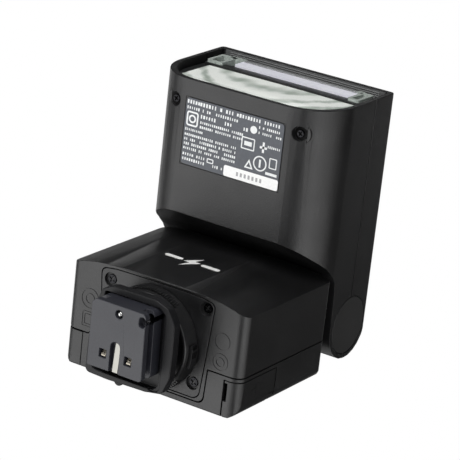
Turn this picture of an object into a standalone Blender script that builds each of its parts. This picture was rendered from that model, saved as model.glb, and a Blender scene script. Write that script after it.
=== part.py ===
# Compact shoe-mounted flash with a tilting head, built in metres from dimensions in millimetres.
# X runs across the width, the lamp window faces -Y, and +Z is up with the shoe foot underneath.
import math

import bmesh
import bpy
from mathutils import Matrix, Vector

MM = 0.001
GAP = 0.3               # clearance between pieces that touch in the real flash

# shoe foot and its guard
FOOT_HALF_X = 9.5
FOOT_Y0, FOOT_Y1 = -10.2, 10.2
FOOT_TOP = 8.4
GUARD_HALF_X = 14.8
GUARD_Y0, GUARD_Y1 = -12.6, 16.0
GUARD_Z0, GUARD_Z1 = 6.4, 12.9
GUARD_STEP_Z = 9.5
GUARD_OPEN_X = 9.8
STEM_R = 9.4

# locking dial under the body
DIAL_Y = 3.9
DIAL_R_BASE = 15.6
DIAL_R_TIP = 14.6
DIAL_Z0, DIAL_Z1 = 13.2, 18.1
DIAL_BORE_R = 9.9
LOCK_PIN_X, LOCK_PIN_Y = 7.9, -7.5
LOCK_PIN_R = 0.9
LOCK_PIN_Z0 = 2.2         # raised, as it stands when the dial is slack

# body box
BODY_HALF_X = 30.6
BODY_FRONT_Y = -13.5
BODY_BOW = 3.1
BODY_REAR_Y = 20.9
BODY_Z0, BODY_Z1 = 18.4, 64.8
WALL = 1.8
SPLIT_Y = 8.2            # line between the two body shells, set back on the cell door side
SPLIT_LEFT_Y = 9.8
PLATE_Z1 = 19.9
PORT_DOOR_X = 25.6
PORT_DOOR_Y = 9.6
PORT_DOOR_TOP = 38.0
CELL_DOOR_X = -24.6
CELL_DOOR_Y = 10.1
CELL_DOOR_SIDE_Y = 2.6
CELL_DOOR_TOP = 59.6

# neck and hinge
HINGE_Y, HINGE_Z = 6.9, 77.6
HINGE_R = 10.6
SHAFT_R = 4.0
NECK_HALF_X = 23.8
NECK_FRONT_Y = -6.4
ARM_INNER_X = 24.2
POCKET_R = 17.6

# head
HEAD_HALF_X = 30.7
HEAD_FRONT_Y = -63.6
HEAD_BOTTOM = 49.65
HEAD_TOP = 88.2
HEAD_CREASE = 65.1
CORNER_X = 17.0
HEAD_SEAM = 77.2
HEAD_WALL = 1.6
CAP_R = 9.0
CAP_THICK = 1.3
LENS_Y0, LENS_Y1 = -62.6, -61.4

# cells and electronics
CELL_R = 7.1
CELL_LENGTH = 49.5
CELL_Y = 10.2
CELL_Z = (28.4, 43.4)


def clear_scene():
    for obj in list(bpy.data.objects):
        bpy.data.objects.remove(obj, do_unlink=True)


def make_collection(name):
    coll = bpy.data.collections.new(name)
    bpy.context.scene.collection.children.link(coll)
    return coll


clear_scene()
PARTS = make_collection("shoe_flash")
CUTTERS = make_collection("cutters")
CUTTERS.hide_render = True


def material(name, rgb, metallic=0.0, roughness=0.5):
    mat = bpy.data.materials.new(name)
    mat.use_nodes = True
    bsdf = mat.node_tree.nodes["Principled BSDF"]
    bsdf.inputs["Base Color"].default_value = (rgb[0], rgb[1], rgb[2], 1.0)
    bsdf.inputs["Metallic"].default_value = metallic
    bsdf.inputs["Roughness"].default_value = roughness
    return mat


def link(obj, coll=None):
    (coll or PARTS).objects.link(obj)
    return obj


def add_prism(bm, pts, axis, lo, hi):
    """Closed prism from a 2D outline; axis x takes (y, z), axis y takes (x, z), axis z takes (x, y)."""
    def place(p, d):
        if axis == "x":
            return (d * MM, p[0] * MM, p[1] * MM)
        if axis == "y":
            return (p[0] * MM, d * MM, p[1] * MM)
        return (p[0] * MM, p[1] * MM, d * MM)
    low = [bm.verts.new(place(p, lo)) for p in pts]
    high = [bm.verts.new(place(p, hi)) for p in pts]
    count = len(pts)
    bm.faces.new(low)
    bm.faces.new(list(reversed(high)))
    for i in range(count):
        j = (i + 1) % count
        bm.faces.new((low[i], high[i], high[j], low[j]))


def finish_mesh(bm, name, coll=None):
    bmesh.ops.recalc_face_normals(bm, faces=bm.faces)
    mesh = bpy.data.meshes.new(name)
    bm.to_mesh(mesh)
    bm.free()
    return link(bpy.data.objects.new(name, mesh), coll)


def prism(name, pts, axis, lo, hi, coll=None):
    bm = bmesh.new()
    add_prism(bm, pts, axis, lo, hi)
    return finish_mesh(bm, name, coll)


def box(name, lo, hi, coll=None):
    pts = [(lo[0], lo[1]), (hi[0], lo[1]), (hi[0], hi[1]), (lo[0], hi[1])]
    return prism(name, pts, "z", lo[2], hi[2], coll)


def circle(cx, cy, r, seg=48, start=0.0):
    return [(cx + r * math.cos(start + 2 * math.pi * i / seg), cy + r * math.sin(start + 2 * math.pi * i / seg))
            for i in range(seg)]


def cylinder(name, centre, r, axis, lo, hi, seg=48, coll=None):
    return prism(name, circle(centre[0], centre[1], r, seg), axis, lo, hi, coll)


def lathe(name, centre, profile, axis="z", seg=64, coll=None):
    """Solid of revolution about an axis through centre; profile lists (radius, distance along axis)."""
    bm = bmesh.new()
    rings = []
    for r, d in profile:
        ring = []
        for i in range(seg):
            a = 2 * math.pi * i / seg
            u, v = centre[0] + r * math.cos(a), centre[1] + r * math.sin(a)
            if axis == "z":
                ring.append(bm.verts.new((u * MM, v * MM, d * MM)))
            elif axis == "x":
                ring.append(bm.verts.new((d * MM, u * MM, v * MM)))
            else:
                ring.append(bm.verts.new((u * MM, d * MM, v * MM)))
        rings.append(ring)
    count = len(rings)
    closed = profile[0] == profile[-1]
    for k in range(count - 1):
        a, b = rings[k], rings[k + 1]
        for i in range(seg):
            j = (i + 1) % seg
            bm.faces.new((a[i], a[j], b[j], b[i]))
    if closed:
        bmesh.ops.remove_doubles(bm, verts=bm.verts, dist=1e-7)
    else:
        bm.faces.new(rings[0])
        bm.faces.new(list(reversed(rings[-1])))
    return finish_mesh(bm, name, coll)


def fillet(poly, seg=5):
    """Round the corners of a 2D outline; poly lists (x, y, radius)."""
    out = []
    count = len(poly)
    for i in range(count):
        px, py, _ = poly[i - 1]
        cx, cy, r = poly[i]
        nx, ny, _ = poly[(i + 1) % count]
        if r <= 0:
            out.append((cx, cy))
            continue
        ax, ay = px - cx, py - cy
        bx, by = nx - cx, ny - cy
        la, lb = math.hypot(ax, ay), math.hypot(bx, by)
        ax, ay, bx, by = ax / la, ay / la, bx / lb, by / lb
        half = math.acos(max(-1.0, min(1.0, ax * bx + ay * by))) / 2
        dist = r / math.tan(half)
        mx, my = ax + bx, ay + by
        lm = math.hypot(mx, my)
        ox, oy = cx + mx / lm * r / math.sin(half), cy + my / lm * r / math.sin(half)
        a0 = math.atan2(cy + ay * dist - oy, cx + ax * dist - ox)
        a1 = math.atan2(cy + by * dist - oy, cx + bx * dist - ox)
        sweep = (a1 - a0 + math.pi) % (2 * math.pi) - math.pi
        for k in range(seg + 1):
            a = a0 + sweep * k / seg
            out.append((ox + r * math.cos(a), oy + r * math.sin(a)))
    return out


def boolean(obj, other, operation="DIFFERENCE"):
    mod = obj.modifiers.new("cut_" + other.name, "BOOLEAN")
    mod.operation = operation
    mod.solver = "EXACT"
    mod.object = other
    if other.name in PARTS.objects:
        PARTS.objects.unlink(other)
        CUTTERS.objects.link(other)
    other.hide_render = True
    other.display_type = "WIRE"
    return obj


def settle(obj):
    """Turn the evaluated shape into the object's own mesh so it can be cut again."""
    bpy.context.view_layer.update()
    graph = bpy.context.evaluated_depsgraph_get()
    mesh = bpy.data.meshes.new_from_object(obj.evaluated_get(graph))
    obj.modifiers.clear()
    obj.data = mesh
    mesh.name = obj.name
    return obj


def soften(obj, width, segments=2, angle=35):
    mod = obj.modifiers.new("soft_edges", "BEVEL")
    mod.width = width * MM
    mod.segments = segments
    mod.limit_method = "ANGLE"
    mod.angle_limit = math.radians(angle)
    mod.harden_normals = False
    return obj


def paint(obj, mat, smooth=False):
    obj.data.materials.clear()
    obj.data.materials.append(mat)
    if smooth:
        for poly in obj.data.polygons:
            poly.use_smooth = True
    return obj


def set_origin(obj, x, y, z):
    """Move the object's origin to a point in millimetres without moving its shape."""
    point = Vector((x * MM, y * MM, z * MM))
    obj.data.transform(Matrix.Translation(-point))
    obj.location = point
    return obj


BLACK = material("black_matt_polycarbonate", (0.022, 0.022, 0.024), 0.0, 0.55)
DARK = material("dark_grey_polycarbonate", (0.05, 0.05, 0.055), 0.0, 0.5)
GREY = material("grey_nylon", (0.16, 0.16, 0.18), 0.0, 0.45)
STEEL = material("steel", (0.6, 0.6, 0.6), 1.0, 0.3)
SCREW = material("black_zinc_steel", (0.08, 0.08, 0.08), 1.0, 0.35)
BRASS = material("gilt_contact", (0.8, 0.62, 0.3), 1.0, 0.25)
CLEAR = material("clear_acrylic", (0.85, 0.87, 0.85), 0.0, 0.1)
MIRROR = material("bright_aluminium", (0.85, 0.86, 0.86), 1.0, 0.12)
GLASS = material("tube_glass", (0.9, 0.92, 0.92), 0.0, 0.05)
RUBBER = material("silicone_rubber", (0.7, 0.7, 0.68), 0.0, 0.6)
BOARD = material("green_board", (0.03, 0.16, 0.07), 0.0, 0.5)
SLEEVE = material("cell_sleeve", (0.06, 0.1, 0.3), 0.0, 0.35)
CAN = material("capacitor_sleeve", (0.03, 0.03, 0.05), 0.0, 0.4)
FERRITE = material("ferrite", (0.06, 0.06, 0.065), 0.0, 0.7)
LABEL = material("slate_label", (0.2, 0.22, 0.25), 0.0, 0.6)
AMBER = material("amber_lamp", (0.9, 0.4, 0.05), 0.0, 0.2)


# ---------------------------------------------------------------- body
def bow(x):
    return BODY_FRONT_Y + BODY_BOW * (abs(x) / BODY_HALF_X) ** 4


def body_plan(inset):
    half = BODY_HALF_X - inset
    steps = 14
    pts = []
    for i in range(steps + 1):
        x = -half + 2 * half * i / steps
        pts.append((x, bow(x * BODY_HALF_X / half) + inset, 0.0))
    pts.append((half, BODY_REAR_Y - inset, 4.6 - inset))
    pts.append((-half, BODY_REAR_Y - inset, max(0.6, 3.2 - inset)))
    return fillet(pts, 4)


def body_solid(name, inset, coll=None):
    """Box with a bowed front; bottom side edges R3, top front edge R5, bottom rear edge nearly sharp."""
    z0, z1 = BODY_Z0 + inset, BODY_Z1 - inset
    obj = prism(name, body_plan(inset), "z", z0 - 1, z1 + 1, coll)
    y0, y1 = BODY_FRONT_Y - 3, BODY_REAR_Y - inset
    front = BODY_FRONT_Y + inset
    side = fillet([(front, z0, 0.5), (y1, z0, 0.8), (y1, z1, 2.4), (front, z1, 5.0 - inset / 2)], 5)
    across = fillet([(-BODY_HALF_X + inset, z0, 3.2 - inset / 2), (BODY_HALF_X - inset, z0, 3.2 - inset / 2),
                     (BODY_HALF_X - inset, z1, 2.2), (-BODY_HALF_X + inset, z1, 2.2)], 5)
    boolean(obj, prism(name + "_side", side, "x", -40, 40, CUTTERS), "INTERSECT")
    boolean(obj, prism(name + "_across", across, "y", y0 - 10, y1 + 10, CUTTERS), "INTERSECT")
    return settle(obj)


def body_wall(name):
    obj = body_solid(name, 0.0)
    boolean(obj, body_solid(name + "_inside", WALL, CUTTERS))
    return settle(obj)


def split_cutter(name, shift, far_y):
    """Everything between the line that parts the two body shells and a far plane."""
    pts = [(-60, SPLIT_LEFT_Y + shift), (-22.6, SPLIT_LEFT_Y + shift), (-21.0, SPLIT_Y + shift),
           (60, SPLIT_Y + shift), (60, far_y), (-60, far_y)]
    return prism(name, pts, "z", 0, 100, CUTTERS)


def tongue(name, grow):
    """The front shell's floor reaches back under the plate."""
    pts = fillet([(-19.9 - grow, 0, 0), (19.9 + grow, 0, 0), (19.0 + grow, 18.9 + grow, 2.2),
                  (-19.0 - grow, 18.9 + grow, 2.2)], 4)
    return prism(name, pts, "z", BODY_Z0 - 2, BODY_Z0 + WALL + 0.05 + grow, CUTTERS)


def plate_outline(grow):
    pts = [(-19.8 - grow, -11.6 - grow, 1.8)]
    for i in range(1, 8):
        x = -19.8 + 39.6 * i / 8
        pts.append((x, bow(x) + 1.0 - grow, 0.0))
    pts += [(19.8 + grow, -11.6 - grow, 1.8), (17.3 + grow, 18.0 + grow, 2.6), (-17.3 - grow, 18.0 + grow, 2.6)]
    return fillet(pts, 4)


SCREW_SPOTS = [(-16.4, -8.8), (17.0, -9.6), (14.9, 13.6), (-14.9, 13.6)]


def build_front_shell():
    obj = body_wall("body_front_shell")
    rear = split_cutter("front_shell_rear_cut", -GAP / 2, 60)
    boolean(rear, tongue("front_shell_tongue", -GAP / 2))
    settle(rear)
    boolean(obj, rear)
    # seat for the plate in the floor
    boolean(obj, prism("plate_seat", plate_outline(0.2), "z", BODY_Z0 - 2, PLATE_Z1 + 0.15, CUTTERS))
    boolean(obj, box("cell_door_gap_front", (-40, CELL_DOOR_SIDE_Y - 0.2, 21.6), (-BODY_HALF_X + WALL + 1.5, 40,
                                                                            CELL_DOOR_TOP + 1.2), CUTTERS))
    boolean(obj, cylinder("shaft_wire_hole", (0.0, -1.5), 2.6, "z", 60, 70, 24, CUTTERS))
    settle(obj)
    return paint(obj, BLACK)


def build_rear_shell():
    obj = body_wall("body_rear_shell")
    boolean(obj, split_cutter("rear_shell_front_cut", GAP / 2, -60))
    boolean(obj, tongue("rear_shell_tongue", GAP / 2))
    boolean(obj, box("port_door_cut", (PORT_DOOR_X - 0.35, PORT_DOOR_Y - 0.2, 0), (40, 40, PORT_DOOR_TOP + 0.2),
                     CUTTERS))
    # clearance for the back of the port door as it swings past its hinge
    boolean(obj, cylinder("port_door_swing", (PORT_HINGE_X, PORT_HINGE_Z), 1.95, "y", PORT_DOOR_Y - 0.2, 25, 32,
                          CUTTERS))
    boolean(obj, box("cell_door_cut_low", (-40, CELL_DOOR_Y - 0.2, 0), (CELL_DOOR_X + 0.2, 40, 21.6), CUTTERS))
    boolean(obj, box("cell_door_cut_side", (-40, 0, 21.4), (-BODY_HALF_X + WALL + 1.5, 40, CELL_DOOR_TOP + 1.2),
                     CUTTERS))
    # windows for the buttons and lamps in the rear wall
    for i, (x, z, r) in enumerate(BUTTONS):
        boolean(obj, cylinder("button_hole_%d" % i, (x, z), r + 0.25, "y", 15, 25, 32, CUTTERS))
    for i, (x, z) in enumerate(LAMPS):
        boolean(obj, cylinder("lamp_hole_%d" % i, (x, z), 1.15, "y", 15, 25, 20, CUTTERS))
    settle(obj)
    return paint(obj, BLACK)


def door_wall(name, region):
    obj = body_wall(name)
    boolean(obj, region, "INTERSECT")
    return settle(obj)


CELL_HINGE_X, CELL_HINGE_Z = -29.1, 59.3
PORT_HINGE_X, PORT_HINGE_Z = 29.3, 36.7


def build_cell_door():
    region = box("cell_door_region", (-40, CELL_DOOR_SIDE_Y, 21.8), (-BODY_HALF_X + WALL + 1.0, 40, CELL_DOOR_TOP),
                 CUTTERS)
    low = box("cell_door_low", (-40, CELL_DOOR_Y, 0), (CELL_DOOR_X, 40, 21.4), CUTTERS)
    edge = box("cell_door_edge", (-40, CELL_DOOR_Y, 21.0), (-BODY_HALF_X + WALL + 1.0, 40, 22.4), CUTTERS)
    boolean(region, edge, "UNION")
    boolean(region, low, "UNION")
    settle(region)
    obj = door_wall("battery_door", region)
    knuckle = cylinder("cell_door_knuckle", (CELL_HINGE_X, CELL_HINGE_Z), 1.25, "y", 6.0, 15.5, 24, CUTTERS)
    boolean(obj, knuckle, "UNION")
    boolean(obj, cylinder("cell_door_bore", (CELL_HINGE_X, CELL_HINGE_Z), 0.66, "y", 0, 30, 20, CUTTERS))
    settle(obj)
    set_origin(obj, CELL_HINGE_X, CELL_DOOR_Y, CELL_HINGE_Z)
    return paint(obj, BLACK)


def build_port_door():
    region = box("port_door_region", (PORT_DOOR_X, PORT_DOOR_Y, 0), (40, 40, PORT_DOOR_TOP), CUTTERS)
    boolean(region, box("nail_notch", (PORT_DOOR_X - 1, 10.3, 17), (PORT_DOOR_X + 1.0, 15.8, 20.0), CUTTERS))
    settle(region)
    obj = door_wall("port_door", region)
    boolean(obj, cylinder("port_door_knuckle", (PORT_HINGE_X, PORT_HINGE_Z), 1.2, "y", 12.0, 17.0, 24, CUTTERS),
            "UNION")
    boolean(obj, cylinder("port_door_bore", (PORT_HINGE_X, PORT_HINGE_Z), 0.66, "y", 0, 30, 20, CUTTERS))
    settle(obj)
    set_origin(obj, PORT_HINGE_X, PORT_DOOR_Y, PORT_HINGE_Z)
    return paint(obj, BLACK)


def build_hinge_pins():
    pin = cylinder("battery_door_pin", (CELL_HINGE_X, CELL_HINGE_Z), 0.6, "y", 4.4, 17.0, 20)
    paint(pin, STEEL, True)
    pin = cylinder("port_door_pin", (PORT_HINGE_X, PORT_HINGE_Z), 0.6, "y", 10.8, 18.0, 20)
    paint(pin, STEEL, True)


# ---------------------------------------------------------------- base, dial and foot
def build_base_plate():
    obj = prism("base_plate", plate_outline(0.0), "z", BODY_Z0, PLATE_Z1)
    for i, (x, y) in enumerate(SCREW_SPOTS):
        boolean(obj, cylinder("plate_hole_%d" % i, (x, y), 2.1, "z", BODY_Z0 - 1, PLATE_Z1 - 0.5, 28, CUTTERS))
    settle(obj)
    return paint(obj, DARK)


def build_screw(name, x, y, z0, r, head, mat):
    """Pan head with a cross recess, head towards -Z."""
    obj = lathe(name, (x, y), [(r - 0.35, z0), (r, z0 + 0.3), (r, z0 + head)], "z", 24)
    for k, (sx, sy) in enumerate(((r * 0.55, 0.26), (0.26, r * 0.55))):
        boolean(obj, box("%s_slot_%d" % (name, k), (x - sx, y - sy, z0 - 1), (x + sx, y + sy, z0 + 0.45), CUTTERS))
    settle(obj)
    return paint(obj, mat)


def build_lock_dial():
    profile = [(DIAL_BORE_R, DIAL_Z1), (DIAL_R_BASE, DIAL_Z1), (DIAL_R_BASE, DIAL_Z1 - 0.5),
               (DIAL_R_TIP + 0.2, DIAL_Z0 + 0.3), (DIAL_R_TIP - 0.1, DIAL_Z0), (DIAL_R_TIP - 0.7, DIAL_Z0),
               (DIAL_R_TIP - 1.2, DIAL_Z0 + 1.2), (DIAL_R_TIP - 1.5, DIAL_Z1 - 2.0), (DIAL_BORE_R, DIAL_Z1 - 2.0),
               (DIAL_BORE_R, DIAL_Z1)]
    obj = lathe("lock_dial", (0.0, DIAL_Y), profile, "z", 96)
    pad = prism("dial_pad", [(p[0], p[1] + DIAL_Y) for p in
                             [(15.2 * math.cos(a), 15.2 * math.sin(a)) for a in (-0.16, -0.05, 0.05, 0.16, 0.27)] +
                             [(16.15 * math.cos(a), 16.15 * math.sin(a)) for a in (0.27, 0.16, 0.05, -0.05, -0.16)]],
                "z", DIAL_Z0 + 1.4, DIAL_Z1 - 0.4, CUTTERS)
    boolean(obj, pad, "UNION")
    settle(obj)
    set_origin(obj, 0, DIAL_Y, DIAL_Z0)
    return paint(obj, DARK, False)


def build_stem():
    obj = lathe("shoe_stem", (0.0, DIAL_Y), [(STEM_R, GUARD_Z1 + 0.15), (STEM_R, BODY_Z0 - 0.2)], "z", 48)
    return paint(obj, GREY, False)


def build_guard():
    # fuller behind than in front, and cut back on the side away from the lock pin
    outer = fillet([(7.4, GUARD_Y0, 3.0), (12.0, GUARD_Y0 + 1.6, 3.0), (GUARD_HALF_X - 0.2, -7.0, 4.0),
                    (GUARD_HALF_X, 2.0, 8.0), (GUARD_HALF_X - 0.2, 9.5, 4.0), (12.6, GUARD_Y1 - 1.4, 2.0),
                    (6.6, GUARD_Y1 - 0.4, 2.0), (-6.6, GUARD_Y1, 2.0), (-14.4, GUARD_Y1 - 0.3, 1.6),
                    (-14.2, 6.0, 6.0), (-13.2, -5.0, 6.0), (-10.8, -10.8, 2.2), (-7.4, GUARD_Y0 + 0.2, 3.0)], 3)
    obj = prism("shoe_guard", outer, "z", GUARD_Z0, GUARD_STEP_Z)
    # narrower collar between the flange and the dial
    collar = fillet([(-11.4, -9.6, 4.0), (11.4, -9.6, 4.0), (11.4, 13.4, 4.0), (-11.4, 13.4, 4.0)], 5)
    boolean(obj, prism("guard_collar", collar, "z", GUARD_STEP_Z - 0.5, GUARD_Z1, CUTTERS), "UNION")
    settle(obj)
    # the foot stands in a pocket that is open behind it and along the side with the lock pin
    pocket = fillet([(-GUARD_OPEN_X, FOOT_Y0 - 0.2, 0.8), (GUARD_OPEN_X + 0.8, FOOT_Y0 - 0.2, 1.8),
                     (GUARD_OPEN_X + 0.8, 14.2, 2.2), (-GUARD_OPEN_X - 2.4, 14.2, 1.6), (-GUARD_OPEN_X - 2.4, 10.4, 0),
                     (-GUARD_OPEN_X, 10.4, 0)], 4)
    boolean(obj, prism("guard_pocket", pocket, "z", GUARD_Z0 - 1, FOOT_TOP + 0.2, CUTTERS))
    rim = fillet([(8.0, -9.8, 0.8), (GUARD_OPEN_X + 1.7, -9.8, 2.0), (GUARD_OPEN_X + 1.7, 14.8, 2.0),
                  (8.0, 14.8, 0.8)], 4)
    boolean(obj, prism("guard_rim", rim, "z", GUARD_Z0 - 1, GUARD_Z0 + 0.6, CUTTERS))
    nub = cylinder("guard_nub", (-3.2, GUARD_Y1 - 0.3), 1.5, "z", GUARD_Z0 + 1.0, GUARD_Z0 + 3.4, 20, CUTTERS)
    boolean(obj, nub, "UNION")
    boolean(obj, cylinder("guard_pin_hole", (LOCK_PIN_X, LOCK_PIN_Y), LOCK_PIN_R + 0.3, "z", 0, 20, 20, CUTTERS))
    settle(obj)
    return paint(obj, DARK)


CONTACT_X, CONTACT_Y = 4.35, 5.4


def build_foot():
    outline = fillet([(-FOOT_HALF_X + 1.4, FOOT_Y0, 0.6), (FOOT_HALF_X - 0.6, FOOT_Y0, 1.2),
                      (FOOT_HALF_X, FOOT_Y1, 1.0), (-FOOT_HALF_X, FOOT_Y1, 0.4), (-FOOT_HALF_X, FOOT_Y0 + 1.2, 0.6)],
                     3)
    obj = prism("shoe_foot", outline, "z", 0.0, FOOT_TOP)
    # rails for the camera's shoe: two long slots cut in the sides above the 2 mm plate
    for s in (-1, 1):
        lo = (min(s * 6.3, s * 12), FOOT_Y0 - 1, 2.1)
        hi = (max(s * 6.3, s * 12), FOOT_Y1 + 1, 4.3)
        boolean(obj, box("foot_rail_%d" % s, lo, hi, CUTTERS))
    boolean(obj, lathe("ball_hole", (0.0, -7.6), [(1.3, -1.0), (1.3, 2.2)], "z", 24, CUTTERS))
    hole = fillet([(LOCK_PIN_X - 1.1, LOCK_PIN_Y - 1.6, 1.0), (LOCK_PIN_X + 1.1, LOCK_PIN_Y - 1.6, 1.0),
                   (LOCK_PIN_X + 1.1, LOCK_PIN_Y + 1.6, 1.0), (LOCK_PIN_X - 1.1, LOCK_PIN_Y + 1.6, 1.0)], 3)
    boolean(obj, prism("lock_hole", hole, "z", -1, FOOT_TOP + 1, CUTTERS))
    for s in (-1, 1):
        boolean(obj, box("contact_hole_%d" % s, (s * CONTACT_X - 1.2, CONTACT_Y - 1.3, -1),
                         (s * CONTACT_X + 1.2, CONTACT_Y + 1.3, 2.0), CUTTERS))
    slot = fillet([(-1.9, 0.9, 1.5), (1.35, 0.9, 1.5), (1.35, 12, 0), (-1.9, 12, 0)], 4)
    boolean(obj, prism("strip_slot", slot, "z", -1, 1.7, CUTTERS))
    settle(obj)
    return paint(obj, GREY)


def build_foot_contacts():
    obj = lathe("centre_contact", (0.0, -7.6), [(0.25, 0.15), (0.75, 0.4), (0.95, 0.95), (0.95, 1.9)], "z", 24)
    paint(obj, STEEL, True)
    for i, s in enumerate((-1, 1)):
        pts = [(CONTACT_Y - 1.0, 1.9), (CONTACT_Y - 1.0, 1.5), (CONTACT_Y - 0.2, 1.1), (CONTACT_Y + 0.5, 0.5),
               (CONTACT_Y + 0.9, 0.5), (CONTACT_Y + 0.9, 0.9), (CONTACT_Y + 0.2, 1.5), (CONTACT_Y - 0.4, 1.9)]
        obj = prism("side_contact_%d" % (i + 1), pts, "x", s * CONTACT_X - 0.7, s * CONTACT_X + 0.7)
        paint(obj, BRASS)
    obj = prism("earth_strip", [(1.6, 1.6), (1.6, 1.2), (3.6, 1.0), (10.1, 0.5), (10.1, 0.95), (3.8, 1.5)], "x",
                -0.9, 0.9)
    paint(obj, STEEL)


def build_lock_pin():
    profile = [(0.5, LOCK_PIN_Z0), (LOCK_PIN_R, LOCK_PIN_Z0 + 0.5), (LOCK_PIN_R, 12.6)]
    obj = lathe("lock_pin", (LOCK_PIN_X, LOCK_PIN_Y), profile, "z", 24)
    set_origin(obj, LOCK_PIN_X, LOCK_PIN_Y, LOCK_PIN_Z0)
    return paint(obj, STEEL, True)


# ---------------------------------------------------------------- neck and hinge
def build_neck():
    pts = [(NECK_FRONT_Y, BODY_Z1 + 0.1), (NECK_FRONT_Y, 74.0)]
    for k in range(0, 17):
        a = math.radians(165 - 165 * k / 16)
        pts.append((HINGE_Y + 9.6 * math.cos(a), HINGE_Z + 9.6 * math.sin(a)))
    pts += [(HINGE_Y + 9.6, BODY_Z1 + 0.1)]
    obj = prism("neck_housing", pts, "x", -NECK_HALF_X, NECK_HALF_X)
    boolean(obj, cylinder("neck_bore", (HINGE_Y, HINGE_Z), SHAFT_R + 0.05, "x", -40, 40, 40, CUTTERS))
    inner = [(NECK_FRONT_Y + 2, BODY_Z1 - 2), (NECK_FRONT_Y + 2, 71.0), (HINGE_Y - 4, 71.0), (HINGE_Y + 4, 71.0),
             (HINGE_Y + 7.6, 71.0), (HINGE_Y + 7.6, BODY_Z1 - 2)]
    boolean(obj, prism("neck_hollow", inner, "x", -NECK_HALF_X + 2, NECK_HALF_X - 2, CUTTERS))
    settle(obj)
    return paint(obj, BLACK)


def build_hinge():
    obj = lathe("hinge_shaft", (HINGE_Y, HINGE_Z), [(SHAFT_R, -28.6), (SHAFT_R, 28.6)], "x", 40)
    boolean(obj, cylinder("shaft_wire_way", (HINGE_Y, HINGE_Z), 2.2, "x", -40, 40, 24, CUTTERS))
    settle(obj)
    paint(obj, STEEL, False)


# ---------------------------------------------------------------- head
def head_section(inset):
    """Cross-section in X and Z: flat underside, long elliptical lower corners, straight sides."""
    half = HEAD_HALF_X - inset
    bottom = HEAD_BOTTOM + inset
    top = HEAD_TOP - inset
    rx, rz = HEAD_HALF_X - CORNER_X, HEAD_CREASE - HEAD_BOTTOM
    rx, rz = rx - inset * 0.4, rz - inset * 0.4
    cx, cz = half - rx, bottom + rz
    right = []
    for k in range(11):
        a = math.radians(-90 + 90 * k / 10)
        right.append((cx + rx * math.cos(a), cz + rz * math.sin(a)))
    r = max(0.4, 1.3 - inset * 0.5)
    for k in range(5):
        a = math.radians(90 * k / 4)
        right.append((half - r + r * math.cos(a), top - r + r * math.sin(a)))
    left = [(-x, z) for x, z in reversed(right)]
    return right + left


def head_profile():
    pts = [(HEAD_FRONT_Y - 0.5, HEAD_TOP), (HEAD_FRONT_Y, HEAD_BOTTOM), (-22.8, HEAD_BOTTOM), (-22.3, 49.9),
           (-18.2, 55.8), (-14.9, 60.9), (-11.9, 64.4), (-9.6, 66.0), (-6.0, 66.6)]
    for k in range(0, 13):
        a = math.radians(-95 + 185 * k / 12)
        pts.append((HINGE_Y + HINGE_R * math.cos(a), HINGE_Z + HINGE_R * math.sin(a)))
    return pts


def head_solid(name):
    obj = prism(name, head_section(0.0), "y", -70, 20)
    boolean(obj, prism(name + "_side", head_profile(), "x", -40, 40, CUTTERS), "INTERSECT")
    settle(obj)
    hollow = prism(name + "_hollow", head_section(HEAD_WALL), "y", -70, 0, CUTTERS)
    room = [(-70, 51.2), (-24.2, 51.2), (-20.3, 56.6), (-17.0, 61.8), (-14.9, 66.0), (-14.2, 70.0), (-14.2, 86.6),
            (-70, 86.6)]
    boolean(hollow, prism(name + "_room", room, "x", -40, 40, CUTTERS), "INTERSECT")
    settle(hollow)
    boolean(obj, hollow)
    # pocket that swings round the neck
    boolean(obj, cylinder(name + "_pocket", (HINGE_Y, HINGE_Z), POCKET_R, "x", -ARM_INNER_X, ARM_INNER_X, 72,
                          CUTTERS))
    boolean(obj, box(name + "_between", (-ARM_INNER_X, HINGE_Y - 9, 60), (ARM_INNER_X, 40, 100), CUTTERS))
    boolean(obj, cylinder(name + "_shaft_bore", (HINGE_Y, HINGE_Z), SHAFT_R + 0.08, "x", -29.0, 29.0, 40, CUTTERS))
    for s in (-1, 1):
        lo, hi = sorted((s * (HEAD_HALF_X - CAP_THICK - 0.1), s * (HEAD_HALF_X + 2)))
        boolean(obj, cylinder("%s_cap_seat_%d" % (name, s), (HINGE_Y, HINGE_Z), CAP_R + 0.15, "x", lo, hi, 48,
                              CUTTERS))
    return settle(obj)


HEAD_SCREWS = [(-21.6, -56.3), (21.6, -56.3)]


def build_head_shells():
    low = head_solid("head_lower_shell")
    boolean(low, box("lower_top_cut", (-50, -80, HEAD_SEAM - GAP / 2), (50, 50, 120), CUTTERS))
    for i, (x, y) in enumerate(HEAD_SCREWS):
        boolean(low, cylinder("head_screw_way_%d" % i, (x, y), 2.2, "z", 45, 56, 28, CUTTERS))
    boolean(low, box("label_seat", (-17.3, -58.4, 45), (17.3, -37.6, HEAD_BOTTOM + 0.25), CUTTERS))
    settle(low)
    # wide posts behind the two front screws
    for i, (x, y) in enumerate(HEAD_SCREWS):
        post = cylinder("head_post_%d" % i, (x, y), 3.2, "z", 51.7, 53.1, 28, CUTTERS)
        boolean(low, post, "UNION")
    settle(low)
    set_origin(low, 0, HINGE_Y, HINGE_Z)
    paint(low, BLACK)
    top = head_solid("head_upper_shell")
    boolean(top, box("upper_low_cut", (-50, -80, 0), (50, 50, HEAD_SEAM + GAP / 2), CUTTERS))
    settle(top)
    set_origin(top, 0, HINGE_Y, HINGE_Z)
    paint(top, BLACK)


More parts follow.
